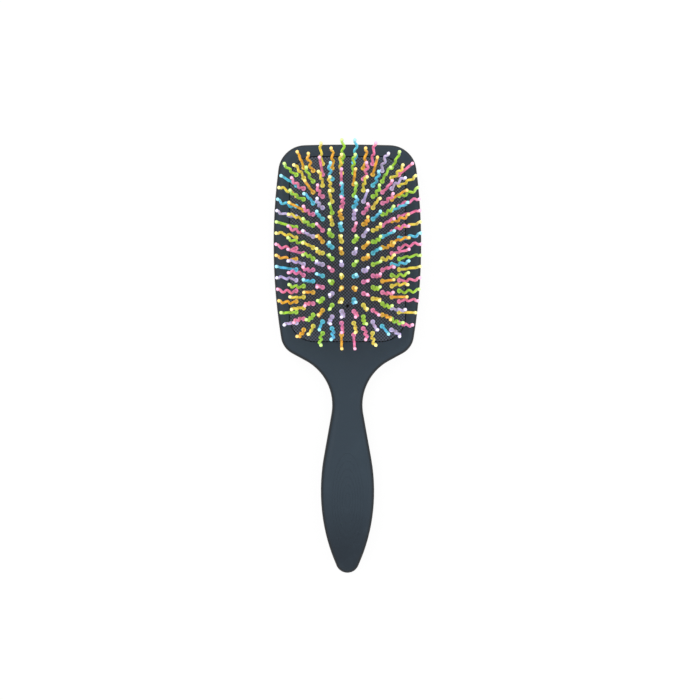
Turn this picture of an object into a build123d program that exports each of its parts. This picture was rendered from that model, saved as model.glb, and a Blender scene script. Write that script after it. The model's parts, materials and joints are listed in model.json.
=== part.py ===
"""Air-cushion paddle hair brush.

Two plastic shells form the head and the handle. A domed rubber cushion fills the window in
the head, held by a retainer ring. Wavy ball-tipped pins stand on the cushion, each through
its own hole, and sink with it when it is pressed.

Frame: millimetres, origin under the middle of the brush, +Y towards the head, +Z the way
the pins point. The brush lies on its flat back at z = 0.
"""

from build123d import *
import math
import os

# ---- body outline, seen from the front ----
overall_length = 250.0
head_width = 86.3
head_middle_y = 67.0
head_top_width = 76.6
head_top_crown = 0.9
head_corner_radius = 16.0
shoulder_y = 6.0
shoulder_width = 75.4
shoulder_radius = 12.5
shoulder_flank = 15.4
neck_width = 17.7
neck_share = 0.7466
grip_width = 31.0
grip_share = 0.367
tip_flank = 3.9
tip_radius = 6.9

# ---- body, seen from the side ----
rim_height = 13.0
neck_height = 12.4
grip_height = 16.4
tip_height = 12.0
parting_height = 6.4
shell_wall = 2.2
front_edge_radius = 4.2
back_edge_radius = 4.2

# ---- window and cushion ----
border_side = 9.25
border_top = 7.6
border_bottom = 3.5
window_corner_radius = 14.6
cushion_clearance = 0.3
cushion_wall = 1.8
cushion_step = 0.35
crown_rise = 9.2
crown_overhang = 0.9
fullness_across = 0.5
fullness_along = 0.6
skin_thickness = 2.0
skin_inset = 0.9
flange_overlap = 3.2
flange_thickness = 1.6
vent_diameter = 1.2
vent_offset = 33.4

# ---- retainer ring and its seat ----
retainer_thickness = 2.2
retainer_reach = 0.6
seat_wall = 2.0

# ---- locating pegs between the shells ----
peg_diameter = 3.0
peg_depth = 3.0
peg_clearance = 0.15
socket_wall = 1.6
peg_shares = (0.924, 0.649, 0.435, 0.206)

# ---- pins ----
pin_length = 22.0
pin_diameter = 1.5
tip_ball_diameter = 1.95
collar_diameter = 2.8
collar_top_diameter = 2.2
collar_height = 0.7
foot_diameter = 3.6
foot_thickness = 0.8
foot_clearance = 0.6
pin_fit = 0.05
wave_start = 1.6
wave_swing = 0.75
half_waves = 4
wave_end = 1.4
roll_step = 137.5
roll_range = 180.0

# ---- pin layout ----
centre_gap = 7.0
side_margin = 4.05
end_margin = 3.9
corner_pull = 5.1
rows = 16
last_step = 0.78

# Colours from the top of each column down, from the middle column outwards.
LEFT_COLUMNS = (
    "GYPBPOBYOLYOYLPO",
    "OBYYGYGBGPGLGLB",
    "YPYPLBPOYLBPGOBG",
    "OGOBPGLYGPBOPGY",
    "OYPGOYPGPLPGYYPO",
    "GBYBLGYPOBLPOGL",
)
RIGHT_COLUMNS = (
    "BGOGBLPGLGBOBPYP",
    "OPYLPOLOOLPPYGP",
    "POBGYBYGBGPGYPLY",
    "LGPPGPBOYPOPGOB",
    "GYLOBOPOPBGYOLGL",
    "PYGPPYBPGYPGPYP",
)
COLOURS = {
    "G": "green",
    "Y": "yellow",
    "O": "orange",
    "P": "pink",
    "B": "blue",
    "L": "lavender",
}
# Each zone of the cushion sinks as one; the number is the lowest share of the crown in it.
ZONES = {"crown": 0.88, "inner": 0.70, "outer": 0.46, "edge": 0.0}

# ---- worked out from the sizes above ----
half_length = overall_length / 2
handle_length = shoulder_y + half_length
neck_y = neck_share * handle_length - half_length
grip_y = grip_share * handle_length - half_length
peg_places = [(0, share * handle_length - half_length) for share in peg_shares]
window_width = head_width - 2 * border_side
window_top = half_length - border_top
window_bottom = shoulder_y + border_bottom
window_length = window_top - window_bottom
window_y = (window_top + window_bottom) / 2
cushion_width = window_width - 2 * cushion_clearance
cushion_length = window_length - 2 * cushion_clearance
crown_base = rim_height - cushion_step
crown_half_width = cushion_width / 2 + crown_overhang
crown_half_length = cushion_length / 2 + crown_overhang
plate_bottom = rim_height - shell_wall
flange_bottom = plate_bottom - flange_thickness
retainer_bottom = flange_bottom - retainer_thickness


def window_outline(margin, height):
    """Return the window's rounded rectangle, grown on every side, at a height."""
    with BuildSketch(Plane.XY.offset(height), mode=Mode.PRIVATE) as outline:
        with Locations((0, window_y)):
            RectangleRounded(
                window_width + 2 * margin,
                window_length + 2 * margin,
                window_corner_radius + margin,
            )
    return outline.sketch


def tangent_line(first, first_radius, second, second_radius):
    """Return the ends of the line that touches two circles on their +X side.

    A hollow arc has a negative radius, and a plain point has a radius of zero.
    """
    first_centre = Vector(*first)
    second_centre = Vector(*second)
    along = second_centre - first_centre
    turn = math.degrees(math.acos((first_radius - second_radius) / along.length))
    normal = along.normalized().rotate(Axis.Z, turn)
    return first_centre + normal * first_radius, second_centre + normal * second_radius


# ---- outline of the whole body ----
# The hollow neck and the full grip get the radii that leave straight flanks of the named lengths.
shoulder_overhang = (shoulder_width - neck_width) / 2
shoulder_rise = shoulder_y - neck_y
neck_radius = (shoulder_overhang**2 + shoulder_rise**2 - shoulder_flank**2) / (2 * shoulder_overhang)
tip_drop = grip_y + half_length - tip_radius
grip_radius = (grip_width / 2) ** 2 + tip_drop**2 - tip_radius**2 - tip_flank**2
grip_radius = grip_radius / (grip_width - 2 * tip_radius)
neck_centre = (neck_width / 2 + neck_radius, neck_y)
grip_centre = (grip_width / 2 - grip_radius, grip_y)
tip_centre = (0, tip_radius - half_length)
top_corner = (head_top_width / 2, half_length - head_top_crown)
shoulder = (shoulder_width / 2, shoulder_y)
_, neck_start = tangent_line(shoulder, 0, neck_centre, -neck_radius)
neck_end, grip_start = tangent_line(neck_centre, -neck_radius, grip_centre, grip_radius)
grip_end, tip_start = tangent_line(grip_centre, grip_radius, tip_centre, tip_radius)

with BuildSketch() as body_outline:
    with BuildLine():
        top_middle = (0, half_length)
        ThreePointArc(top_middle, (top_corner[0] / 2, half_length - head_top_crown / 4), top_corner)
        ThreePointArc(top_corner, (head_width / 2, head_middle_y), shoulder)
        Line(shoulder, neck_start)
        ThreePointArc(neck_start, (neck_width / 2, neck_y), neck_end)
        Line(neck_end, grip_start)
        ThreePointArc(grip_start, (grip_width / 2, grip_y), grip_end)
        Line(grip_end, tip_start)
        RadiusArc(tip_start, (0, -half_length), tip_radius)
        mirror(about=Plane.YZ)
    make_face()
    for corner, radius in ((top_corner, head_corner_radius), (shoulder, shoulder_radius)):
        height = corner[1]
        corners = body_outline.vertices().filter_by_position(Axis.Y, height - 0.01, height + 0.01)
        fillet(corners, radius)

with BuildSketch() as hollow_outline:
    add(body_outline.sketch)
    offset(amount=-shell_wall, kind=Kind.INTERSECTION)


def side_profile(lowering):
    """Return the body's side view, with its front lowered by a wall's thickness."""
    with BuildSketch(Plane.YZ, mode=Mode.PRIVATE) as profile:
        with BuildLine():
            Spline(
                (-half_length - 1, tip_height - lowering),
                (grip_y, grip_height - lowering),
                (neck_y, neck_height - lowering),
                (shoulder_y, rim_height - lowering),
                tangents=((1, 0.3), (1, 0)),
            )
            Polyline(
                (shoulder_y, rim_height - lowering),
                (half_length + 1, rim_height - lowering),
                (half_length + 1, 0),
                (-half_length - 1, 0),
                (-half_length - 1, tip_height - lowering),
            )
        make_face()
    return profile.sketch


def crown_shares(fullness):
    """Return the control heights of the curve (1 - t^2)(1 + fullness t^2), t from -1 to 1."""
    return (0, 1 + fullness, 4 / 3 * (1 - fullness), 1 + fullness, 0)


def crown_surface(half_width, half_length_along, base):
    """Return the domed surface over a rectangle, from its half sizes and edge height."""
    net = []
    for i, across in enumerate(crown_shares(fullness_across)):
        column = []
        for j, along in enumerate(crown_shares(fullness_along)):
            x = half_width * (i / 2 - 1)
            y = window_y + half_length_along * (j / 2 - 1)
            column.append((x, y, base + crown_rise * across * along))
        net.append(column)
    return Face.make_bezier_surface(net)


def crown_at(x, y):
    """Return the share of the crown's height at a place, and the plane square to it.

    The plane's X points up the slope, so its back points outwards.
    """
    u = x / crown_half_width
    v = (y - window_y) / crown_half_length
    across = (1 - u**2) * (1 + fullness_across * u**2)
    along = (1 - v**2) * (1 + fullness_along * v**2)
    across_slope = 2 * u * (fullness_across - 1 - 2 * fullness_across * u**2)
    along_slope = 2 * v * (fullness_along - 1 - 2 * fullness_along * v**2)
    slope_x = crown_rise * across_slope * along / crown_half_width
    slope_y = crown_rise * across * along_slope / crown_half_length
    height = crown_base + crown_rise * across * along
    uphill = (slope_x, slope_y, slope_x**2 + slope_y**2)
    return across * along, Plane((x, y, height), x_dir=uphill, z_dir=(-slope_x, -slope_y, 1))


# ---- front shell ----
with BuildPart() as front_shell:
    with BuildSketch(Plane.XY.offset(parting_height)):
        add(body_outline.sketch)
    extrude(amount=grip_height)
    extrude(side_profile(0), amount=head_width, both=True, mode=Mode.INTERSECT)
    front_edges = front_shell.faces().filter_by(lambda face: face.normal_at().Z > 0.5).edges()
    fillet(front_edges, front_edge_radius)

    # The hollow under the front, with the same side view one wall lower.
    with BuildPart(mode=Mode.PRIVATE) as front_hollow:
        with BuildSketch(Plane.XY.offset(parting_height)):
            add(hollow_outline.sketch)
        extrude(amount=grip_height)
        extrude(side_profile(shell_wall), amount=head_width, both=True, mode=Mode.INTERSECT)
    add(front_hollow.part, mode=Mode.SUBTRACT)
    extrude(window_outline(0, 0), amount=rim_height + 1, mode=Mode.SUBTRACT)

    # Locating pegs hang from the front and reach past the parting line.
    with BuildSketch(Plane.XY.offset(parting_height - peg_depth)):
        with Locations(*peg_places):
            Circle(peg_diameter / 2)
    extrude(until=Until.NEXT)
front_shell.part.label = "front_shell"

# ---- back shell ----
with BuildPart() as back_shell:
    with BuildSketch():
        add(body_outline.sketch)
    extrude(amount=parting_height)
    fillet(back_shell.faces().sort_by(Axis.Z)[0].edges(), back_edge_radius)
    with BuildSketch(Plane.XY.offset(shell_wall)):
        add(hollow_outline.sketch)
    extrude(amount=parting_height, mode=Mode.SUBTRACT)

    # A standing wall carries the retainer ring all round the window.
    extrude(window_outline(flange_overlap, shell_wall), amount=retainer_bottom - shell_wall)
    extrude(
        window_outline(flange_overlap - seat_wall, shell_wall),
        amount=retainer_bottom - shell_wall,
        mode=Mode.SUBTRACT,
    )

    # Sockets for the pegs stand on the floor.
    with BuildSketch(Plane.XY.offset(shell_wall)):
        with Locations(*peg_places):
            Circle(peg_diameter / 2 + peg_clearance + socket_wall)
    extrude(amount=parting_height - shell_wall)
    with BuildSketch(Plane.XY.offset(parting_height)):
        with Locations(*peg_places):
            Circle(peg_diameter / 2 + peg_clearance)
    extrude(amount=-peg_depth - peg_clearance, mode=Mode.SUBTRACT)
back_shell.part.label = "back_shell"

# ---- retainer ring ----
with BuildPart() as cushion_retainer:
    extrude(window_outline(flange_overlap, retainer_bottom), amount=retainer_thickness)
    extrude(
        window_outline(-cushion_clearance - cushion_wall - retainer_reach, retainer_bottom),
        amount=retainer_thickness,
        mode=Mode.SUBTRACT,
    )
    fillet(cushion_retainer.edges().group_by(Axis.Z)[-1], retainer_thickness / 5)
cushion_retainer.part.label = "cushion_retainer"

# ---- pin places, each with its colour and zone ----
steps_to_edge = len(LEFT_COLUMNS) - 2 + last_step
column_pitch = (cushion_width / 2 - side_margin - centre_gap / 2) / steps_to_edge
pin_groups = {}
pin_planes = []
for side, columns in ((-1, LEFT_COLUMNS), (1, RIGHT_COLUMNS)):
    for column, letters in enumerate(columns):
        x = side * (centre_gap / 2 + min(column, steps_to_edge) * column_pitch)
        reach = cushion_length / 2 - end_margin - corner_pull * (2 * x / cushion_width) ** 2
        pitch = 2 * reach / (rows - 1)
        first = reach - pitch / 2 * (rows - len(letters))
        for row, letter in enumerate(letters):
            share, plane = crown_at(x, window_y + first - row * pitch)
            zone = next(name for name, lowest in ZONES.items() if share >= lowest)
            roll = roll_step * len(pin_planes) % roll_range - roll_range / 2
            pin_planes.append(plane)
            pin_groups.setdefault((COLOURS[letter], zone), []).append(plane * Rot(0, 0, roll))

# ---- cushion ----
outer_crown = crown_surface(crown_half_width, crown_half_length, crown_base)
inner_crown = crown_surface(
    crown_half_width - skin_inset,
    crown_half_length - skin_inset,
    crown_base - skin_thickness,
)
foot_top = -skin_thickness - foot_clearance
with BuildPart() as cushion:
    extrude(window_outline(-cushion_clearance, flange_bottom), amount=rim_height + crown_rise)
    extrude(outer_crown, amount=rim_height + crown_rise, dir=(0, 0, -1), mode=Mode.INTERSECT)
    extrude(window_outline(flange_overlap, flange_bottom), amount=flange_thickness)

    # The air space inside follows the outer dome one skin lower.
    with BuildPart(mode=Mode.PRIVATE) as air_space:
        extrude(
            window_outline(-cushion_clearance - cushion_wall, flange_bottom),
            amount=rim_height + crown_rise,
        )
        extrude(inner_crown, amount=rim_height + crown_rise, dir=(0, 0, -1), mode=Mode.INTERSECT)
    add(air_space.part, mode=Mode.SUBTRACT)

    with Locations(*pin_planes):
        Cylinder(pin_diameter / 2 + pin_fit, 3 * skin_thickness, mode=Mode.SUBTRACT)
    with Locations(crown_at(0, window_y - vent_offset)[1]):
        Cylinder(vent_diameter / 2, 3 * skin_thickness, mode=Mode.SUBTRACT)
cushion.part.label = "cushion"

# ---- one pin, standing on the cushion's surface at its origin ----
wave_height = (pin_length - wave_start - wave_end) / (2 * half_waves)
wave_turn = 2 * math.degrees(math.atan(wave_swing / wave_height))
wave_radius = wave_height / math.sin(math.radians(wave_turn))
foot_bottom = foot_top - foot_thickness

with BuildPart() as pin:
    with BuildLine(Plane.XZ) as shaft_line:
        start = Line((0, foot_bottom + foot_thickness / 2), (0, wave_start))
        bend = JernArc(start @ 1, start % 1, wave_radius, wave_turn)
        for wave in range(half_waves):
            bend = JernArc(bend @ 1, bend % 1, wave_radius, (-1) ** (wave + 1) * wave_turn)
            if wave < half_waves - 1:
                bend = JernArc(bend @ 1, bend % 1, wave_radius, (-1) ** (wave + 1) * wave_turn)
        end = Line(bend @ 1, bend @ 1 + Vector(0, 0, wave_end))
    with BuildSketch(Plane(origin=start @ 0, z_dir=start % 0)):
        Circle(pin_diameter / 2)
    sweep()
    with Locations(end @ 1):
        Sphere(tip_ball_diameter / 2)
    Cone(
        collar_diameter / 2,
        collar_top_diameter / 2,
        collar_height,
        align=(Align.CENTER, Align.CENTER, Align.MIN),
    )
    with Locations((0, 0, foot_bottom)):
        Cylinder(foot_diameter / 2, foot_thickness, align=(Align.CENTER, Align.CENTER, Align.MIN))

# ---- files: one for each sub-part, with the pins in groups by colour and zone ----
os.makedirs("parts", exist_ok=True)
export_step(front_shell.part, "parts/front_shell.step")
export_step(back_shell.part, "parts/back_shell.step")
export_step(cushion_retainer.part, "parts/cushion_retainer.step")
export_step(cushion.part, "parts/cushion.step")
for (colour, zone), places in pin_groups.items():
    with BuildPart() as pins:
        with Locations(*places):
            add(pin.part)
    pins.part.label = f"pins_{colour}_{zone}"
    export_step(pins.part, f"parts/{pins.part.label}.step")
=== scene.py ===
"""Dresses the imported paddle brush: finishes, domed cushion, wavy pins, light and camera."""

import json
import logging
import math
from dataclasses import dataclass, field
from enum import Enum
from typing import Callable, Iterator, Optional, Union

import bmesh
import bpy
from mathutils import Matrix, Vector


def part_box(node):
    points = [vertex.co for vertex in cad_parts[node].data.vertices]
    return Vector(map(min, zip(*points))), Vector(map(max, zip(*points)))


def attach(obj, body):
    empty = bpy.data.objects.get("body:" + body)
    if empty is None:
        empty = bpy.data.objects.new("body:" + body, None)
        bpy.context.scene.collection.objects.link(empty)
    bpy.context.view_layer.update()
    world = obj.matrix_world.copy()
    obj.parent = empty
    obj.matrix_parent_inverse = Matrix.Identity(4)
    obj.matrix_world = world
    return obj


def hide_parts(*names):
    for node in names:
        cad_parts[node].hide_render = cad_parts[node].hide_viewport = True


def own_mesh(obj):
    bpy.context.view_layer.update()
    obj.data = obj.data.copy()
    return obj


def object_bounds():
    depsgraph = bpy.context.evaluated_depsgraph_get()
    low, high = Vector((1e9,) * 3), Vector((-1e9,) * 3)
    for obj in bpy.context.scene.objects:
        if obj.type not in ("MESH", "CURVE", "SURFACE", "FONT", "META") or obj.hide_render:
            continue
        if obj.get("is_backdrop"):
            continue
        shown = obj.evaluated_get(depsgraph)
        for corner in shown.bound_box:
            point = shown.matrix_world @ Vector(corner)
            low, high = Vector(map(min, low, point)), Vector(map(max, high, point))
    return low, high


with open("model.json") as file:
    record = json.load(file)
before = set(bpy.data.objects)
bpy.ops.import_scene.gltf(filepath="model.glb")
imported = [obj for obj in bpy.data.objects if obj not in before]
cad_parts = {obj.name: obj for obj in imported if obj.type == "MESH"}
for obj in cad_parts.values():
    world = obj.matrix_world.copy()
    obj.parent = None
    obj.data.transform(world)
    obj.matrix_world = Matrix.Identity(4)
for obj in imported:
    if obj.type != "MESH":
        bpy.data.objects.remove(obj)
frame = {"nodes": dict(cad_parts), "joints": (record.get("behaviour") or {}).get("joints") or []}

CAD_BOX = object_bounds()
MM = 0.001
LOG = logging.getLogger("paddle_brush")

Colour = tuple[float, float, float]
Span = tuple[float, float]
SocketValue = Union["Signal", bpy.types.NodeSocket, bpy.types.Node, float, tuple]

# A Mix node's colour sockets go by number, because its sockets' names repeat.
MIX_FIRST, MIX_SECOND, MIX_RESULT = 6, 7, 2


class PinColour(Enum):
    """The six colours of nylon that the pins are moulded in."""

    GREEN = "green"
    YELLOW = "yellow"
    ORANGE = "orange"
    PINK = "pink"
    BLUE = "blue"
    LAVENDER = "lavender"


class Zone(Enum):
    """The parts of the cushion that sink together, from its middle outwards."""

    CROWN = "crown"
    INNER = "inner"
    OUTER = "outer"
    EDGE = "edge"


# ---------------------------------------------------------------- node trees


class Signal:
    """One number in a node tree, whose Python operators add Math nodes."""

    def __init__(self, graph: "Graph", socket: bpy.types.NodeSocket) -> None:
        """Wrap a socket.

        Args:
            graph: the tree that the socket is in.
            socket: the output that carries the number.
        """
        self.graph = graph
        self.socket = socket

    def _math(self, operation: str, *values: SocketValue) -> "Signal":
        """Add a Math node.

        Args:
            operation: the node's operation.
            values: what its inputs hold, in order.

        Returns:
            The node's result.
        """
        return self.graph.signal("ShaderNodeMath", dict(enumerate(values)), operation=operation)

    def __add__(self, other: SocketValue) -> "Signal":
        """Add."""
        return self._math("ADD", self, other)

    __radd__ = __add__

    def __sub__(self, other: SocketValue) -> "Signal":
        """Subtract."""
        return self._math("SUBTRACT", self, other)

    def __rsub__(self, other: SocketValue) -> "Signal":
        """Subtract from."""
        return self._math("SUBTRACT", other, self)

    def __mul__(self, other: SocketValue) -> "Signal":
        """Multiply."""
        return self._math("MULTIPLY", self, other)

    __rmul__ = __mul__

    def __truediv__(self, other: SocketValue) -> "Signal":
        """Divide."""
        return self._math("DIVIDE", self, other)

    def __pow__(self, other: SocketValue) -> "Signal":
        """Raise to a power."""
        return self._math("POWER", self, other)

    def sine(self) -> "Signal":
        """Return the sine, of radians."""
        return self._math("SINE", self)

    def cosine(self) -> "Signal":
        """Return the cosine, of radians."""
        return self._math("COSINE", self)

    def size(self) -> "Signal":
        """Return the value without its sign."""
        return self._math("ABSOLUTE", self)

    def least(self, other: SocketValue) -> "Signal":
        """Return the smaller of the two."""
        return self._math("MINIMUM", self, other)

    def most(self, other: SocketValue) -> "Signal":
        """Return the larger of the two."""
        return self._math("MAXIMUM", self, other)

    def fade(self, start: float, end: float) -> "Signal":
        """Rise smoothly from 0 at the start to 1 at the end.

        Args:
            start: the value that gives 0.
            end: the value that gives 1.

        Returns:
            The faded value.
        """
        return self.graph.signal(
            "ShaderNodeMapRange",
            {"Value": self, "From Min": start, "From Max": end},
            interpolation_type="SMOOTHSTEP",
        )

    def sway(self, amount: float) -> "Signal":
        """Return how far a value of 0 to 1 is from its middle, times an amount."""
        return (self - 0.5) * amount


class Graph:
    """A node tree and the methods that add nodes to it."""

    def __init__(self, tree: bpy.types.NodeTree) -> None:
        """Keep the tree."""
        self.tree = tree

    def node(self, kind: str, sockets: Optional[dict] = None, **settings: str) -> bpy.types.Node:
        """Add a node.

        Args:
            kind: the node's type.
            sockets: values or links, by input name or number; a node means its first output.
            settings: its properties, set first.

        Returns:
            The new node.
        """
        node = self.tree.nodes.new(kind)
        for name, value in settings.items():
            setattr(node, name, value)
        for key, value in (sockets or {}).items():
            target = node.inputs[key]
            if isinstance(value, Signal):
                value = value.socket
            elif isinstance(value, bpy.types.Node):
                value = value.outputs[0]
            if isinstance(value, bpy.types.NodeSocket):
                self.tree.links.new(value, target)
            else:
                target.default_value = value
        return node

    def signal(
        self,
        kind: str,
        sockets: Optional[dict] = None,
        output: Union[int, str] = 0,
        **settings: str,
    ) -> Signal:
        """Add a node and return one output as a number.

        Args:
            kind: the node's type.
            sockets: values or links of its inputs.
            output: which output.
            settings: its properties.

        Returns:
            The output.
        """
        return Signal(self, self.node(kind, sockets, **settings).outputs[output])


class Surface(Graph):
    """A material's tree, with the object's own coordinates at hand."""

    def __init__(self, name: str) -> None:
        """Make an empty material.

        Args:
            name: the material's name.
        """
        self.material = bpy.data.materials.new(name)
        self.material.use_nodes = True
        super().__init__(self.material.node_tree)
        self.tree.nodes.clear()
        coordinates = self.node("ShaderNodeTexCoord")
        self.place = coordinates.outputs["Object"]
        axes = self.node("ShaderNodeSeparateXYZ", {0: self.place})
        self.x, self.y = (Signal(self, axes.outputs[axis]) for axis in ("X", "Y"))
        self.upward = self.signal("ShaderNodeSeparateXYZ", {0: coordinates.outputs["Normal"]}, "Z")

    def noise(self, size: float, detail: float = 2.0) -> Signal:
        """Return smooth noise.

        Args:
            size: about how wide one patch is, in metres.
            detail: how many finer layers it has.

        Returns:
            The noise, from 0 to 1.
        """
        return self.signal(
            "ShaderNodeTexNoise", {"Vector": self.place, "Scale": 1 / size, "Detail": detail}
        )

    def mix(
        self, factor: SocketValue, first: SocketValue, second: SocketValue
    ) -> bpy.types.NodeSocket:
        """Mix two colours.

        Args:
            factor: the share of the second.
            first: the colour at 0.
            second: the colour at 1.

        Returns:
            The mixed colour.
        """
        first, second = (
            (*colour, 1.0) if isinstance(colour, tuple) else colour for colour in (first, second)
        )
        sockets = {0: factor, MIX_FIRST: first, MIX_SECOND: second}
        return self.node("ShaderNodeMix", sockets, data_type="RGBA").outputs[MIX_RESULT]

    def bump(self, height: Signal, depth: float, strength: float) -> bpy.types.Node:
        """Return a bumped normal.

        Args:
            height: the height, from 0 to 1.
            depth: the real depth of 1, in metres.
            strength: how much of it shows.

        Returns:
            The node that gives the normal.
        """
        return self.node(
            "ShaderNodeBump", {"Height": height, "Distance": depth, "Strength": strength}
        )

    def finish(self, sockets: dict) -> bpy.types.Material:
        """Close the tree with its shader.

        Args:
            sockets: the Principled shader's values and links.

        Returns:
            The finished material.
        """
        shader = self.node("ShaderNodeBsdfPrincipled", sockets)
        self.node("ShaderNodeOutputMaterial", {"Surface": shader})
        return self.material


def tint(red: int, green: int, blue: int) -> Colour:
    """Return a screen colour as linear light.

    Args:
        red: 0 to 255.
        green: 0 to 255.
        blue: 0 to 255.

    Returns:
        The linear colour.
    """
    return tuple(
        value / 12.92 if value <= 0.04045 else ((value + 0.055) / 1.055) ** 2.4
        for value in (red / 255, green / 255, blue / 255)
    )


# ---------------------------------------------------------------- finishes


@dataclass(frozen=True)
class SoftTouchPlastic:
    """Slate plastic with a matt soft-touch coat, with painted shade towards the handle's tip and
    on its steep flanks.
    """

    slate: Colour = tint(36, 48, 58)
    painted_tip_shade: Colour = tint(21, 31, 40)
    painted_flank_shade: Colour = tint(7, 11, 15)
    worn: Colour = tint(45, 58, 68)
    painted_tip_shade_span: Span = (-0.070, -0.122)
    cloud_size: float = 0.018
    rub_span: Span = (0.5, 0.8)
    rub_share: float = 0.30
    speck_size: float = 0.0012
    speck_span: Span = (0.62, 0.78)
    speck_share: float = 0.18
    painted_flank_span: Span = (0.88, 0.55)
    painted_flank_share: float = 0.9
    roughness: float = 0.5
    cloud_roughness: float = 0.16
    grain_roughness: float = 0.10
    specular: float = 0.2
    grain_size: float = 0.00035
    grain_depth: float = 0.00003
    grain_strength: float = 0.6

    def material(self, name: str) -> bpy.types.Material:
        """Build the material.

        Args:
            name: its name.

        Returns:
            The material.
        """
        surface = Surface(name)
        cloud = surface.noise(self.cloud_size, detail=3.0)
        grain = surface.noise(self.grain_size, detail=3.0)
        speck = surface.noise(self.speck_size, detail=1.0)
        # painted shade: darker towards the handle's tip, where its front curves down away from the
        # light
        tone = surface.mix(surface.y.fade(*self.painted_tip_shade_span), self.slate, self.painted_tip_shade)
        rubbed = surface.mix(cloud.fade(*self.rub_span) * self.rub_share, tone, self.worn)
        flecked = surface.mix(speck.fade(*self.speck_span) * self.speck_share, rubbed, self.worn)
        # painted shade: the steep flanks darkened, standing in for the dark surroundings they
        # reflect
        painted_steep_mask = surface.upward.size().fade(*self.painted_flank_span)
        roughness = self.roughness + cloud.sway(self.cloud_roughness)
        return surface.finish(
            {
                "Base Color": surface.mix(painted_steep_mask * self.painted_flank_share, flecked, self.painted_flank_shade),
                "Roughness": roughness + grain.sway(self.grain_roughness),
                "Specular IOR Level": self.specular,
                "Normal": surface.bump(grain, self.grain_depth, self.grain_strength),
            }
        )


@dataclass(frozen=True)
class WovenRubber:
    """Dark slate rubber with a fine diagonal weave moulded into it, with painted shade in the
    weave's grooves, on steep walls and round its vent.
    """

    vent_y: float
    painted_vent_span: Span = (0.0012, 0.0008)
    ridge: Colour = tint(64, 73, 88)
    painted_groove_shade: Colour = tint(3, 5, 9)
    dust: Colour = tint(72, 81, 95)
    painted_shade: Colour = tint(3, 4, 5)
    pitch: float = 0.0019
    ridge_span: Span = (0.32, 0.68)
    patch_size: float = 0.009
    dust_span: Span = (0.52, 0.8)
    dust_share: float = 0.22
    pore_size: float = 0.0004
    pore_share: float = 0.2
    painted_wall_span: Span = (0.62, 0.4)
    depth: float = 0.00014
    strength: float = 0.8
    roughness: float = 0.62
    patch_roughness: float = 0.2
    specular: float = 0.35

    def material(self, name: str) -> bpy.types.Material:
        """Build the material.

        Args:
            name: its name.

        Returns:
            The material.
        """
        surface = Surface(name)
        turns = 2 * math.pi / self.pitch
        across = (surface.x * turns).sine()
        along = (surface.y * turns).sine()
        weave = (across * along) * 0.5 + 0.5
        patches = surface.noise(self.patch_size, detail=3.0)
        pores = surface.noise(self.pore_size)
        height = weave * (1 - self.pore_share) + pores * self.pore_share
        # painted shade: the weave's grooves darkened to near-black, as shade would fall in them
        base = surface.mix(weave.fade(*self.ridge_span), self.painted_groove_shade, self.ridge)
        dusty = surface.mix(patches.fade(*self.dust_span) * self.dust_share, base, self.dust)
        # painted shade: near-black on steep walls, such as the vent's wall and the skirt's side
        # under the rim, and in a dot round the vent hole
        from_vent = (surface.x**2 + (surface.y - self.vent_y) ** 2) ** 0.5
        wall = surface.upward.size().fade(*self.painted_wall_span)
        painted_shade_mask = wall.most(from_vent.fade(*self.painted_vent_span))
        return surface.finish(
            {
                "Base Color": surface.mix(painted_shade_mask, dusty, self.painted_shade),
                "Roughness": self.roughness + patches.sway(self.patch_roughness),
                "Specular IOR Level": self.specular,
                "Normal": surface.bump(height, self.depth, self.strength),
            }
        )


@dataclass(frozen=True)
class HiddenPlastic:
    """Plain black moulded plastic of the ring inside."""

    black: Colour = tint(34, 36, 39)
    grey: Colour = tint(52, 55, 59)
    cloud_size: float = 0.006
    grey_span: Span = (0.4, 0.7)
    grey_share: float = 0.4
    roughness: float = 0.5
    cloud_roughness: float = 0.2
    grain_size: float = 0.0004
    grain_depth: float = 0.00003
    grain_strength: float = 0.5

    def material(self, name: str) -> bpy.types.Material:
        """Build the material.

        Args:
            name: its name.

        Returns:
            The material.
        """
        surface = Surface(name)
        cloud = surface.noise(self.cloud_size, detail=3.0)
        grain = surface.noise(self.grain_size)
        greyed = cloud.fade(*self.grey_span) * self.grey_share
        return surface.finish(
            {
                "Base Color": surface.mix(greyed, self.black, self.grey),
                "Roughness": self.roughness + cloud.sway(self.cloud_roughness),
                "Normal": surface.bump(grain, self.grain_depth, self.grain_strength),
            }
        )


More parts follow.
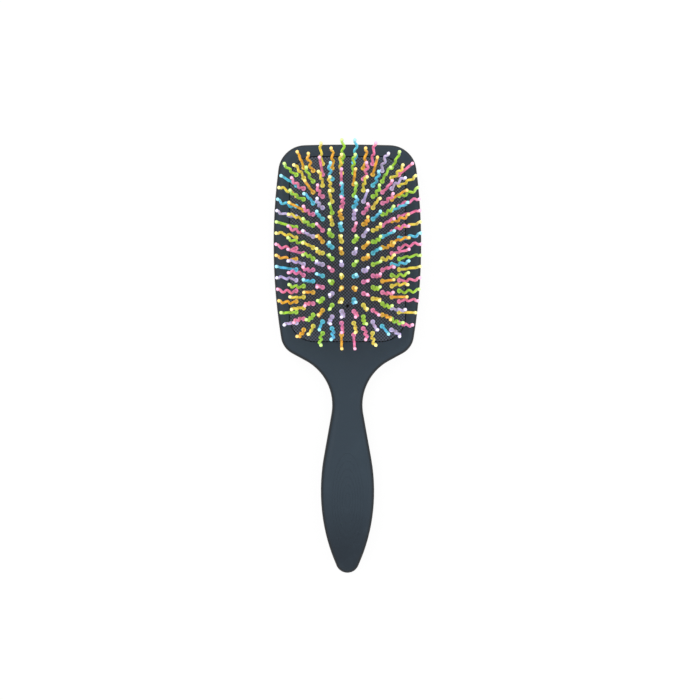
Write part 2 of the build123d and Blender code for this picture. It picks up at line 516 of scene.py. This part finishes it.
@dataclass(frozen=True)
class PinNylon:
    """Glossy nylon, with painted light: a little brighter at the collar against the shade near the
    cushion, and paler at the ball tip as a painted highlight.
    """

    collar: Colour
    shaft: Colour
    tip: Colour
    painted_collar_span: Span = (0.02, 0.3)
    tip_highlight_span: Span = (0.86, 1.0)
    streak_size: float = 0.0011
    streak_span: Span = (0.45, 0.8)
    streak_share: float = 0.16
    roughness: float = 0.24
    streak_roughness: float = 0.12
    specular: float = 0.5
    coat: float = 0.3
    glow: float = 0.2
    glow_reach: Colour = (0.0012, 0.0010, 0.0008)
    grain_size: float = 0.0005
    grain_depth: float = 0.00001
    grain_strength: float = 0.4

    def material(self, name: str) -> bpy.types.Material:
        """Build the material, which reads how far along the pin a point is.

        Args:
            name: its name.

        Returns:
            The material.
        """
        surface = Surface(name)
        along = surface.signal("ShaderNodeAttribute", output="Fac", attribute_name="along")
        streak = surface.noise(self.streak_size)
        grain = surface.noise(self.grain_size)
        # painted light: the collar a little lighter than the shaft, offsetting the shade between
        # the pins near the cushion
        shaft = surface.mix(along.fade(*self.painted_collar_span), self.collar, self.shaft)
        # painted highlight: the ball tip paled towards near-white
        tip_highlighted = surface.mix(along.fade(*self.tip_highlight_span), shaft, self.tip)
        streaked = streak.fade(*self.streak_span) * self.streak_share
        return surface.finish(
            {
                "Base Color": surface.mix(streaked, tip_highlighted, self.tip),
                "Roughness": self.roughness + streak * self.streak_roughness,
                "Specular IOR Level": self.specular,
                "Coat Weight": self.coat,
                "Subsurface Weight": self.glow,
                "Subsurface Radius": self.glow_reach,
                "Subsurface Scale": 1.0,
                "Normal": surface.bump(grain, self.grain_depth, self.grain_strength),
            }
        )


# Each colour's collar, shaft and tip; the pale tips are painted highlights, and the lighter
# collars are painted light against the shade near the cushion.
PIN_FINISHES: dict[PinColour, PinNylon] = {
    PinColour.GREEN: PinNylon(tint(182, 242, 92), tint(172, 232, 76), tint(202, 240, 138)),
    PinColour.YELLOW: PinNylon(tint(252, 238, 104), tint(250, 229, 90), tint(252, 238, 150)),
    PinColour.ORANGE: PinNylon(tint(255, 200, 76), tint(255, 188, 60), tint(255, 213, 118)),
    PinColour.PINK: PinNylon(tint(255, 150, 202), tint(255, 136, 192), tint(255, 178, 212)),
    PinColour.BLUE: PinNylon(tint(104, 222, 255), tint(88, 208, 255), tint(158, 230, 255)),
    PinColour.LAVENDER: PinNylon(tint(216, 204, 255), tint(204, 192, 250), tint(228, 222, 255)),
}


# ---------------------------------------------------------------- mesh helpers


def make_object(name: str, mesh: bpy.types.Mesh) -> bpy.types.Object:
    """Put a mesh in the scene at the origin.

    Args:
        name: the object's name.
        mesh: its mesh.

    Returns:
        The object.
    """
    thing = bpy.data.objects.new(name, mesh)
    bpy.context.scene.collection.objects.link(thing)
    return thing


def evaluate(thing: bpy.types.Object) -> bpy.types.Object:
    """Turn an object's modifiers into its plain mesh.

    Args:
        thing: an object with modifiers.

    Returns:
        The same object, without them.
    """
    bpy.context.view_layer.update()
    graph = bpy.context.evaluated_depsgraph_get()
    mesh = bpy.data.meshes.new_from_object(thing.evaluated_get(graph), depsgraph=graph)
    mesh.name = thing.name
    thing.modifiers.clear()
    thing.data = mesh
    return thing


def run_nodes(
    thing: bpy.types.Object, tree: bpy.types.GeometryNodeTree, values: dict[str, object]
) -> bpy.types.Object:
    """Run a geometry tree on an object and keep the result as its mesh.

    Args:
        thing: the object.
        tree: the tree.
        values: its inputs by name.

    Returns:
        The object with its new mesh.
    """
    modifier = thing.modifiers.new("build", "NODES")
    modifier.node_group = tree
    for item in tree.interface.items_tree:
        if item.item_type == "SOCKET" and item.in_out == "INPUT" and item.name in values:
            modifier[item.identifier] = values[item.name]
    return evaluate(thing)


def dress(thing: bpy.types.Object, material: bpy.types.Material) -> None:
    """Give every slot of an object one material."""
    if not thing.material_slots:
        thing.data.materials.append(material)
    for slot in thing.material_slots:
        slot.material = material


class Builder(Graph):
    """A geometry tree in the making, with named inputs."""

    def __init__(self, name: str, inputs: dict[str, str]) -> None:
        """Start a tree.

        Args:
            name: its name.
            inputs: its extra inputs, each with the kind of socket.
        """
        super().__init__(bpy.data.node_groups.new(name, "GeometryNodeTree"))
        face, geometry = self.tree.interface, "NodeSocketGeometry"
        for label, kind in {"Geometry": geometry, **inputs}.items():
            face.new_socket(label, in_out="INPUT", socket_type=kind)
        face.new_socket("Geometry", in_out="OUTPUT", socket_type=geometry)
        self.inputs = self.node("NodeGroupInput")

    def value(self, label: str) -> Signal:
        """Return an input as a number."""
        return Signal(self, self.inputs.outputs[label])

    def vector(self, x: SocketValue, y: SocketValue, z: SocketValue) -> bpy.types.Node:
        """Return a vector made of three numbers."""
        return self.node("ShaderNodeCombineXYZ", {0: x, 1: y, 2: z})

    def circle(self, sides: int, radius: SocketValue) -> bpy.types.Node:
        """Return a circle, as a curve with so many sides."""
        sockets = {"Resolution": sides, "Radius": radius}
        return self.node("GeometryNodeCurvePrimitiveCircle", sockets, mode="RADIUS")

    def sweep(
        self, path: bpy.types.Node, section: bpy.types.Node, capped: bool = False
    ) -> bpy.types.Node:
        """Return the mesh that a section leaves along a path, with its ends closed or open."""
        sockets = {"Curve": path, "Profile Curve": section, "Fill Caps": capped}
        return self.node("GeometryNodeCurveToMesh", sockets)

    def close(self, geometry: bpy.types.Node) -> bpy.types.GeometryNodeTree:
        """End the tree in real geometry with its material.

        Args:
            geometry: what the tree has made.

        Returns:
            The tree.
        """
        real = self.node("GeometryNodeRealizeInstances", {0: geometry})
        material = self.inputs.outputs["Material"]
        dressed = self.node("GeometryNodeSetMaterial", {"Geometry": real, "Material": material})
        self.node("NodeGroupOutput", {0: dressed})
        return self.tree


# ---------------------------------------------------------------- the cushion's shape


@dataclass
class Dome:
    """The crowned surface that the cushion's skin and its pins share, in metres."""

    half_width: float
    half_length: float
    centre_y: float
    base: float
    rise: float = 9.2 * MM
    overhang: float = 0.9 * MM
    fullness_across: float = 0.5
    fullness_along: float = 0.6
    probe: float = 1e-5

    def share(self, x: float, y: float, shrink: float = 0.0) -> float:
        """Return the share of the crown's height at a place.

        Args:
            x: across the brush.
            y: along the brush.
            shrink: how much smaller the dome is on each side.

        Returns:
            The share, 1 at the crown.
        """
        u = x / (self.half_width + self.overhang - shrink)
        v = (y - self.centre_y) / (self.half_length + self.overhang - shrink)
        across = (1 - u * u) * (1 + self.fullness_across * u * u)
        along = (1 - v * v) * (1 + self.fullness_along * v * v)
        return across * along

    def height(self, x: float, y: float) -> float:
        """Return the surface's height at a place."""
        return self.base + self.rise * self.share(x, y)

    def slope(self, x: float, y: float) -> tuple[float, float]:
        """Return the surface's slopes along X and Y at a place."""
        step = self.probe
        slope_x = (self.height(x + step, y) - self.height(x - step, y)) / (2 * step)
        slope_y = (self.height(x, y + step) - self.height(x, y - step)) / (2 * step)
        return slope_x, slope_y

    def stand(self, x: float, y: float, roll: float) -> Matrix:
        """Return the place of something that stands square on the surface.

        Args:
            x: across the brush.
            y: along the brush.
            roll: its turn about itself, in radians, from its X pointing up the slope.

        Returns:
            The matrix that puts it there.
        """
        slope_x, slope_y = self.slope(x, y)
        normal = Vector((-slope_x, -slope_y, 1)).normalized()
        uphill = Vector((slope_x, slope_y, slope_x**2 + slope_y**2)).normalized()
        turned = Matrix((uphill, normal.cross(uphill), normal)).transposed().to_4x4()
        place = Matrix.Translation((x, y, self.height(x, y)))
        return place @ turned @ Matrix.Rotation(roll, 4, "Z")


@dataclass
class Cushion:
    """The rubber cushion: a domed skin with a skirt, and a flange clamped under the rim."""

    flange_overlap: float = 3.2 * MM
    clearance: float = 0.3 * MM
    wall: float = 1.8 * MM
    skin: float = 2.0 * MM
    skin_inset: float = 0.9 * MM
    flange_thickness: float = 1.6 * MM
    window_corner: float = 14.6 * MM
    skirt_height: float = 3.45 * MM
    vent_diameter: float = 1.2 * MM
    vent_offset: float = 33.4 * MM
    vent_sides: int = 24
    drill_length: float = 16.0 * MM
    seam: float = 0.28 * MM
    skirt_top: float = 1.0 * MM
    tuck: float = 1.7 * MM
    corner_steps: int = 16
    side_steps: int = 34
    rings: int = 44
    crease: float = 40.0
    dome: Dome = field(init=False)

    def __post_init__(self) -> None:
        """Take the cushion's place from its solid."""
        self.low, self.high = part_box("cushion")
        edge = self.flange_overlap + self.clearance
        self.dome = Dome(
            half_width=(self.high.x - self.low.x) / 2 - edge,
            half_length=(self.high.y - self.low.y) / 2 - edge,
            centre_y=(self.high.y + self.low.y) / 2,
            base=self.low.z + self.skirt_height,
        )

    @property
    def vent_y(self) -> float:
        """The vent's place along the brush."""
        return self.dome.centre_y - self.vent_offset

    def outline(self, margin: float) -> list[Vector]:
        """Return the rounded rectangle of the skirt, grown by a margin.

        Args:
            margin: how much larger it is on every side.

        Returns:
            Its points, anticlockwise, as many whatever the margin.
        """
        half_x = self.dome.half_width + margin
        half_y = self.dome.half_length + margin
        radius = self.window_corner - self.clearance + margin
        centres = [
            Vector((side_x * (half_x - radius), self.dome.centre_y + side_y * (half_y - radius)))
            for side_x, side_y in ((1, 1), (-1, 1), (-1, -1), (1, -1))
        ]
        points: list[Vector] = []
        for quarter, centre in enumerate(centres):
            for step in range(self.corner_steps + 1):
                angle = math.radians(90 * (quarter + step / self.corner_steps))
                points.append(centre + radius * Vector((math.cos(angle), math.sin(angle))))
            start = points[-1]
            end = start + centres[(quarter + 1) % len(centres)] - centre
            for step in range(1, self.side_steps):
                points.append(start.lerp(end, step / self.side_steps))
        return points

    def loop(self, margin: float, scale: float, height: Callable[[Vector], float]) -> list[Vector]:
        """Return one ring of points round the cushion's middle.

        Args:
            margin: how much larger than the skirt its outline is.
            scale: its size towards the middle, 1 for the whole outline.
            height: the height at a place.

        Returns:
            The ring's points.
        """
        centre = Vector((0, self.dome.centre_y))
        places = [centre + (point - centre) * scale for point in self.outline(margin)]
        return [Vector((place.x, place.y, height(place))) for place in places]

    def close(self, name: str, loops: list[list[Vector]], capped: bool) -> bpy.types.Object:
        """Join rings of points into one closed mesh.

        Args:
            name: the object's name.
            loops: the rings, in order along the section.
            capped: whether the first and last ring are filled; if not, they are joined.

        Returns:
            The object.
        """
        mesh = bmesh.new()
        rings = [[mesh.verts.new(point) for point in loop] for loop in loops]
        pairs = list(zip(rings, rings[1:])) + ([] if capped else [(rings[-1], rings[0])])
        for first, second in pairs:
            for index in range(len(first)):
                after = (index + 1) % len(first)
                mesh.faces.new((first[index], second[index], second[after], first[after]))
        for ring in (rings[0], rings[-1]) if capped else ():
            middle = mesh.verts.new(sum((vert.co for vert in ring), Vector()) / len(ring))
            for index in range(len(ring)):
                mesh.faces.new((ring[index], ring[(index + 1) % len(ring)], middle))
        bmesh.ops.recalc_face_normals(mesh, faces=mesh.faces)
        data = bpy.data.meshes.new(name)
        mesh.to_mesh(data)
        mesh.free()
        return make_object(name, data)

    def soften(self, thing: bpy.types.Object) -> None:
        """Shade an object smooth, except across its sharp edges."""
        for polygon in thing.data.polygons:
            polygon.use_smooth = True
        thing.data.set_sharp_from_angle(angle=math.radians(self.crease))

    def build_skirt(self, material: bpy.types.Material) -> bpy.types.Object:
        """Build the standing wall and the flange clamped under the rim, which don't sink.

        Args:
            material: their finish.

        Returns:
            The ring.
        """
        top, foot = self.dome.base - self.skirt_top, self.low.z
        flange_top, reach = foot + self.flange_thickness, self.flange_overlap + self.clearance
        section = (
            (0.0, top),
            (0.0, flange_top),
            (reach, flange_top),
            (reach, foot),
            (-self.wall, foot),
            (-self.wall, top),
        )
        loops = [
            self.loop(margin, 1.0, lambda place, level=level: level) for margin, level in section
        ]
        skirt = self.close("cushion_skirt", loops, capped=False)
        self.soften(skirt)
        dress(skirt, material)
        return skirt

    def build_skin(self, material: bpy.types.Material) -> bpy.types.Object:
        """Build the domed skin as one closed mesh with its vent hole.

        Args:
            material: its finish.

        Returns:
            The skin.
        """
        dome = self.dome

        def outside(place: Vector) -> float:
            """Return the outer skin's height."""
            return dome.height(place.x, place.y)

        def inside(place: Vector) -> float:
            """Return the inner skin's height."""
            share = dome.share(place.x, place.y, self.skin_inset)
            return dome.base - self.skin + dome.rise * max(share, 0.0)

        scales = [step / self.rings for step in range(1, self.rings + 1)]
        loops = [self.loop(-self.seam, scale, outside) for scale in scales]
        loops.append(self.loop(-self.seam, 1.0, lambda place: dome.base - self.tuck))
        loops += [self.loop(-self.wall, scale, inside) for scale in reversed(scales)]
        skin = self.close("cushion_skin", loops, capped=True)
        self.cut_vent(skin)
        self.soften(skin)
        dress(skin, material)
        return skin

    def cut_vent(self, skin: bpy.types.Object) -> None:
        """Cut the small hole that lets the air out.

        Args:
            skin: the cushion.
        """
        drill = bmesh.new()
        bmesh.ops.create_cone(
            drill,
            cap_ends=True,
            segments=self.vent_sides,
            radius1=self.vent_diameter / 2,
            radius2=self.vent_diameter / 2,
            depth=self.drill_length,
            matrix=self.dome.stand(0.0, self.vent_y, roll=0.0),
        )
        data = bpy.data.meshes.new("vent_drill")
        drill.to_mesh(data)
        drill.free()
        cutter = make_object("vent_drill", data)
        modifier = skin.modifiers.new("vent", "BOOLEAN")
        modifier.operation = "DIFFERENCE"
        modifier.solver = "EXACT"
        modifier.object = cutter
        evaluate(skin)
        bpy.data.objects.remove(cutter)


# ---------------------------------------------------------------- pins


@dataclass
class PinField:
    """Every pin on the cushion, grouped by colour and zone."""

    dome: Dome
    length: float = 22.0 * MM
    shaft_diameter: float = 1.5 * MM
    ball_diameter: float = 1.95 * MM
    collar_diameter: float = 2.8 * MM
    collar_height: float = 0.7 * MM
    root_depth: float = 2.4 * MM
    wave_start: float = 1.6 * MM
    wave_swing: float = 0.75 * MM
    wave_end: float = 1.4 * MM
    half_waves: float = 4.0
    roll_step: float = 137.5
    roll_range: float = 180.0
    centre_gap: float = 7.0 * MM
    side_margin: float = 4.05 * MM
    end_margin: float = 3.9 * MM
    corner_pull: float = 5.1 * MM
    rows: int = 16
    last_step: float = 0.78
    shaft_steps: int = 30
    shaft_sides: int = 8
    ball_segments: int = 12
    ball_rings: int = 7
    collar_sides: int = 14
    collar_top: float = 0.66
    collar_foot: float = 0.86
    rim_reach: float = 0.82
    rim_share: float = 0.18
    rim_sides: int = 6
    left: tuple[str, ...] = (
        "GYPBPOBYOLYOYLPO",
        "OBYYGYGBGPGLGLB",
        "YPYPLBPOYLBPGOBG",
        "OGOBPGLYGPBOPGY",
        "OYPGOYPGPLPGYYPO",
        "GBYBLGYPOBLPOGL",
    )
    right: tuple[str, ...] = (
        "BGOGBLPGLGBOBPYP",
        "OPYLPOLOOLPPYGP",
        "POBGYBYGBGPGYPLY",
        "LGPPGPBOYPOPGOB",
        "GYLOBOPOPBGYOLGL",
        "PYGPPYBPGYPGPYP",
    )
    lowest_share: tuple[tuple[Zone, float], ...] = (
        (Zone.CROWN, 0.88),
        (Zone.INNER, 0.70),
        (Zone.OUTER, 0.46),
        (Zone.EDGE, 0.0),
    )

    def places(self) -> Iterator[tuple[PinColour, Zone, Matrix]]:
        """Give each pin's colour, zone and place, from the middle columns outwards."""
        letters = {colour.name[0]: colour for colour in PinColour}
        half = self.dome.half_width
        steps_to_edge = len(self.left) - 2 + self.last_step
        pitch_x = (half - self.side_margin - self.centre_gap / 2) / steps_to_edge
        count = 0
        for side, columns in ((-1, self.left), (1, self.right)):
            for column, colours in enumerate(columns):
                x = side * (self.centre_gap / 2 + min(column, steps_to_edge) * pitch_x)
                pull = self.corner_pull * (x / half) ** 2
                reach = self.dome.half_length - self.end_margin - pull
                pitch = 2 * reach / (self.rows - 1)
                first = reach - pitch / 2 * (self.rows - len(colours))
                for row, letter in enumerate(colours):
                    y = self.dome.centre_y + first - row * pitch
                    share = self.dome.share(x, y)
                    zone = next(zone for zone, lowest in self.lowest_share if share >= lowest)
                    roll = self.roll_step * count % self.roll_range - self.roll_range / 2
                    yield letters[letter], zone, self.dome.stand(x, y, math.radians(roll))
                    count += 1

    def sizes(self) -> dict[str, float]:
        """Return one pin's sizes, by the name of the tree's input."""
        return {
            "Length": self.length,
            "Shaft radius": self.shaft_diameter / 2,
            "Ball radius": self.ball_diameter / 2,
            "Collar radius": self.collar_diameter / 2,
            "Collar height": self.collar_height,
            "Root depth": self.root_depth,
            "Wave start": self.wave_start,
            "Wave swing": self.wave_swing,
            "Wave end": self.wave_end,
            "Half waves": self.half_waves,
        }

    def tree(self) -> bpy.types.GeometryNodeTree:
        """Build the tree that stands one wavy ball-tipped pin on every point.

        Returns:
            The tree.
        """
        inputs = {size: "NodeSocketFloat" for size in self.sizes()}
        graph = Builder("stand_pins", {**inputs, "Material": "NodeSocketMaterial"})
        length, swing = graph.value("Length"), graph.value("Wave swing")
        collar, half_waves = graph.value("Collar radius"), graph.value("Half waves")

        # The shaft: a straight line, bent into its wave, with a round section.
        line = graph.node(
            "GeometryNodeCurvePrimitiveLine",
            {
                "Start": graph.vector(0.0, 0.0, 0.0 - graph.value("Root depth")),
                "End": graph.vector(0.0, 0.0, length),
            },
        )
        steps = graph.node("GeometryNodeResampleCurve", {"Curve": line, "Count": self.shaft_steps})
        place = graph.node("GeometryNodeInputPosition")
        up = graph.signal("ShaderNodeSeparateXYZ", {0: place}, "Z")
        start = graph.value("Wave start")
        stretch = length - graph.value("Wave end") - start
        along_wave = ((up - start) / stretch).most(0.0).least(1.0)
        phase = along_wave * (half_waves * math.pi)
        sideways = (phase.cosine() - 1.0) * swing
        bent = graph.node(
            "GeometryNodeSetPosition",
            {"Geometry": steps, "Offset": graph.vector(sideways, 0.0, 0.0)},
        )
        section = graph.circle(self.shaft_sides, graph.value("Shaft radius"))
        shaft = graph.sweep(bent, section, capped=True)

        # The ball on its end, where the last half wave leaves it.
        ball = graph.node(
            "GeometryNodeMeshUVSphere",
            {
                "Segments": self.ball_segments,
                "Rings": self.ball_rings,
                "Radius": graph.value("Ball radius"),
            },
        )
        last = ((half_waves * math.pi).cosine() - 1.0) * swing
        tip = graph.node(
            "GeometryNodeTransform",
            {"Geometry": ball, "Translation": graph.vector(last, 0.0, length)},
        )

        # The collar: a low cone with a rounded rim that sits on the rubber.
        cone = graph.node(
            "GeometryNodeMeshCone",
            {
                "Vertices": self.collar_sides,
                "Radius Top": collar * self.collar_top,
                "Radius Bottom": collar * self.collar_foot,
                "Depth": graph.value("Collar height"),
            },
        )
        rim_radius = collar * self.rim_share
        rim = graph.sweep(
            graph.circle(self.collar_sides, collar * self.rim_reach),
            graph.circle(self.rim_sides, rim_radius),
        )
        raised = graph.node(
            "GeometryNodeTransform",
            {"Geometry": rim, "Translation": graph.vector(0.0, 0.0, rim_radius)},
        )
        joined = graph.node("GeometryNodeJoinGeometry")
        for part in (shaft, tip, cone, raised):
            graph.tree.links.new(part.outputs[0], joined.inputs[0])
        smooth = graph.node("GeometryNodeSetShadeSmooth", {"Geometry": joined})
        marked = graph.node(
            "GeometryNodeStoreNamedAttribute",
            {"Geometry": smooth, "Name": "along", "Value": up / length},
            data_type="FLOAT",
            domain="POINT",
        )

        # One pin on every point, turned as the point says.
        tilt = graph.node(
            "GeometryNodeInputNamedAttribute", {"Name": "tilt"}, data_type="FLOAT_VECTOR"
        )
        stood = graph.node(
            "GeometryNodeInstanceOnPoints",
            {
                "Points": graph.inputs.outputs["Geometry"],
                "Instance": marked,
                "Rotation": graph.node("FunctionNodeEulerToRotation", {0: tilt}),
            },
        )
        return graph.close(stood)

    def build(
        self, materials: dict[PinColour, bpy.types.Material]
    ) -> Iterator[tuple[PinColour, Zone, bpy.types.Object]]:
        """Build the pins, one object for each colour in each zone.

        Args:
            materials: each colour's finish.

        Yields:
            Each object with its colour and its zone.
        """
        tree = self.tree()
        groups: dict[tuple[PinColour, Zone], list[Matrix]] = {}
        for colour, zone, place in self.places():
            groups.setdefault((colour, zone), []).append(place)
        for (colour, zone), places in groups.items():
            name = f"{colour.value}_{zone.value}"
            points = bpy.data.meshes.new(f"pin_set_{name}")
            points.from_pydata([place.translation for place in places], [], [])
            tilt = points.attributes.new("tilt", "FLOAT_VECTOR", "POINT")
            for index, place in enumerate(places):
                tilt.data[index].vector = place.to_euler()
            values = {**self.sizes(), "Material": materials[colour]}
            yield colour, zone, run_nodes(make_object(points.name, points), tree, values)

    def mean_share(self, zone: Zone) -> float:
        """Return the mean share of the dome's height at which a zone's pins stand."""
        shares = [
            self.dome.share(place.translation.x, place.translation.y)
            for _, own, place in self.places()
            if own is zone
        ]
        return sum(shares) / len(shares)


# ---------------------------------------------------------------- the handle's contour ribs


@dataclass
class GripContours:
    """Faint nested ovals raised on the handle's front."""

    centre_y: float = -82.0 * MM
    spacing: float = 1.5 * MM
    count: int = 6
    stretch: float = 3.0
    rib_radius: float = 0.24 * MM
    sunk: float = 0.16 * MM
    oval_steps: int = 96
    rib_sides: int = 8
    drop_from: float = 0.05
    drop_length: float = 0.1

    def tree(self) -> bpy.types.GeometryNodeTree:
        """Build the tree that drapes nested ovals on the shell.

        Returns:
            The tree.
        """
        graph = Builder(
            "drape_contours",
            {
                "Shell": "NodeSocketObject",
                "Centre": "NodeSocketFloat",
                "Spacing": "NodeSocketFloat",
                "Count": "NodeSocketInt",
                "Stretch": "NodeSocketFloat",
                "Rib radius": "NodeSocketFloat",
                "Sunk": "NodeSocketFloat",
                "Material": "NodeSocketMaterial",
            },
        )
        points = graph.node(
            "GeometryNodeMeshLine",
            {"Count": graph.value("Count"), "Start Location": (0, 0, 0), "Offset": (0, 0, 0)},
            mode="OFFSET",
        )
        size = (graph.signal("GeometryNodeInputIndex") + 1.0) * graph.value("Spacing")
        nested = graph.node(
            "GeometryNodeInstanceOnPoints",
            {
                "Points": points,
                "Instance": graph.circle(self.oval_steps, 1.0),
                "Scale": graph.vector(size, size * graph.value("Stretch"), 1.0),
            },
        )
        real = graph.node("GeometryNodeRealizeInstances", {0: nested})
        place = graph.node("GeometryNodeInputPosition")
        axes = graph.node("ShaderNodeSeparateXYZ", {0: place})
        along = Signal(graph, axes.outputs["Y"]) + graph.value("Centre")
        shell = graph.node(
            "GeometryNodeObjectInfo",
            {"Object": graph.inputs.outputs["Shell"]},
            transform_space="ORIGINAL",
        )
        found = graph.node(
            "GeometryNodeRaycast",
            {
                "Target Geometry": shell.outputs["Geometry"],
                "Source Position": graph.vector(axes.outputs["X"], along, self.drop_from),
                "Ray Direction": (0, 0, -1),
                "Ray Length": self.drop_length,
            },
        )
        sunk = graph.vector(0.0, 0.0, graph.value("Sunk"))
        lowered = graph.node(
            "ShaderNodeVectorMath",
            {0: found.outputs["Hit Position"], 1: sunk},
            operation="SUBTRACT",
        )
        draped = graph.node("GeometryNodeSetPosition", {"Geometry": real, "Position": lowered})
        ribs = graph.sweep(draped, graph.circle(self.rib_sides, graph.value("Rib radius")))
        return graph.close(graph.node("GeometryNodeSetShadeSmooth", {"Geometry": ribs}))

    def build(self, shell: bpy.types.Object, material: bpy.types.Material) -> bpy.types.Object:
        """Build the ribs on the shell.

        Args:
            shell: the front shell.
            material: its finish.

        Returns:
            The ribs, as one object.
        """
        seed = bpy.data.meshes.new("grip_contours")
        seed.from_pydata([(0, 0, 0)], [], [])
        values = {
            "Shell": shell,
            "Centre": self.centre_y,
            "Spacing": self.spacing,
            "Count": self.count,
            "Stretch": self.stretch,
            "Rib radius": self.rib_radius,
            "Sunk": self.sunk,
            "Material": material,
        }
        return run_nodes(make_object("grip_contours", seed), self.tree(), values)


# ---------------------------------------------------------------- the studio


@dataclass(frozen=True)
class Lamp:
    """One soft square lamp."""

    name: str
    place: tuple[float, float, float]
    size: float
    power: float

    def hang(self, aim: Vector) -> None:
        """Hang the lamp.

        Args:
            aim: what it points at.
        """
        light = bpy.data.lights.new(self.name, "AREA")
        light.size = self.size
        light.energy = self.power
        lamp = bpy.data.objects.new(self.name, light)
        lamp.location = self.place
        lamp.rotation_euler = (aim - lamp.location).to_track_quat("-Z", "Y").to_euler()
        bpy.context.scene.collection.objects.link(lamp)


@dataclass
class Studio:
    """A pale floor, soft light and a camera that looks straight down from beside the middle."""

    camera_x: float = -12.0 * MM
    camera_y: float = -10.0 * MM
    camera_height: float = 0.61
    camera_sensor: float = 36.0
    camera_near: float = 0.01
    camera_far: float = 20.0
    view_x: float = 1.5 * MM
    view_y: float = 5.0 * MM
    view_width: float = 0.4082
    view_plane: float = 0.010
    floor_size: float = 6.0
    floor_drop: float = 0.2 * MM
    paper: Colour = (0.86, 0.86, 0.86)
    paper_light: Colour = (0.9, 0.9, 0.9)
    paper_patch: float = 0.3
    white_share: float = 0.93
    aim: tuple[float, float, float] = (0.0, 0.02, 0.02)
    sky: float = 1.21
    lamps: tuple[Lamp, ...] = (
        Lamp("key", (-0.45, 0.55, 1.0), size=0.6, power=3.8),
        Lamp("fill", (0.85, -0.1, 0.8), size=0.9, power=1.57),
        Lamp("low_fill", (-0.2, -1.0, 0.7), size=0.9, power=1.12),
    )

    def floor(self) -> None:
        """Lay the floor, white to the eye but still holding the brush's shadow."""
        mesh = bpy.data.meshes.new("floor")
        half, level = self.floor_size / 2, -self.floor_drop
        corners = ((-half, -half), (half, -half), (half, half), (-half, half))
        mesh.from_pydata([(x, y, level) for x, y in corners], [], [(0, 1, 2, 3)])
        floor = make_object("floor", mesh)
        surface = Surface("floor_paper")
        tone = surface.mix(surface.noise(self.paper_patch), self.paper, self.paper_light)
        paper = surface.node("ShaderNodeBsdfDiffuse", {"Color": tone})
        glow = surface.node("ShaderNodeEmission", {"Color": (1, 1, 1, 1), "Strength": 1.0})
        seen = surface.signal("ShaderNodeLightPath", output="Is Camera Ray")
        glossy = surface.signal("ShaderNodeLightPath", output="Is Glossy Ray")
        white = seen.most(glossy) * self.white_share
        both = surface.node("ShaderNodeMixShader", {0: white, 1: paper, 2: glow})
        surface.node("ShaderNodeOutputMaterial", {"Surface": both})
        dress(floor, surface.material)
        floor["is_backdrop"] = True

    def light(self) -> None:
        """Light the brush softly from above and the sides."""
        for lamp in self.lamps:
            lamp.hang(Vector(self.aim))
        world = bpy.data.worlds.new("room")
        world.use_nodes = True
        background = world.node_tree.nodes["Background"]
        background.inputs["Color"].default_value = (1, 1, 1, 1)
        background.inputs["Strength"].default_value = self.sky
        bpy.context.scene.world = world

    def camera(self) -> None:
        """Set the camera over the brush, with its top edge towards the head's end."""
        data = bpy.data.cameras.new("camera")
        data.sensor_width = self.camera_sensor
        distance = self.camera_height - self.view_plane
        data.lens = data.sensor_width * distance / self.view_width
        data.shift_x = (self.view_x - self.camera_x) / self.view_width
        data.shift_y = (self.view_y - self.camera_y) / self.view_width
        data.clip_start = self.camera_near
        data.clip_end = self.camera_far
        camera = bpy.data.objects.new("camera", data)
        camera.location = (self.camera_x, self.camera_y, self.camera_height)
        bpy.context.scene.collection.objects.link(camera)
        bpy.context.scene.camera = camera

    def build(self) -> None:
        """Make the floor, the lamps and the camera."""
        self.floor()
        self.light()
        self.camera()
        bpy.context.scene.view_settings.view_transform = "Standard"


def report(piece: bpy.types.Object) -> None:
    """Log one finished piece with its size."""
    LOG.info("%s: %d faces", piece.name, len(piece.data.polygons))


def main() -> None:
    """Build the classes in order and attach each piece to its body."""
    Studio().build()
    slate = SoftTouchPlastic().material("soft_touch_slate")
    for node in ("front_shell", "back_shell"):
        dress(frame["nodes"][node], slate)
        report(frame["nodes"][node])
    dress(frame["nodes"]["cushion_retainer"], HiddenPlastic().material("inner_black"))

    cushion = Cushion()
    rubber = WovenRubber(cushion.vent_y).material("woven_rubber")
    pin_field = PinField(cushion.dome)
    skirt, skin = cushion.build_skirt(rubber), cushion.build_skin(rubber)
    for piece in (skirt, skin):
        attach(piece, "body")
        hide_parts("cushion")
        report(piece)
    lead = next(joint for joint in frame["joints"] if joint["name"] == "crown_press")
    height = cushion.dome.rise * pin_field.mean_share(Zone.CROWN)
    1 + min(lead["range_m"]) / height
    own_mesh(skin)

    nylon = {
        colour: finish.material(f"nylon_{colour.value}") for colour, finish in PIN_FINISHES.items()
    }
    for colour, zone, pins in pin_field.build(nylon):
        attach(pins, f"pins_{zone.value}")
        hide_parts(f"pins_{colour.value}_{zone.value}")
        report(pins)

    ribs = GripContours().build(frame["nodes"]["front_shell"], slate)
    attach(ribs, "body")
    report(ribs)

    boxes = {"cad": CAD_BOX, "visual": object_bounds()}
    {name: [list(corner) for corner in box] for name, box in boxes.items()}


if __name__ == "__main__":
    logging.basicConfig(level=logging.INFO)
    main()
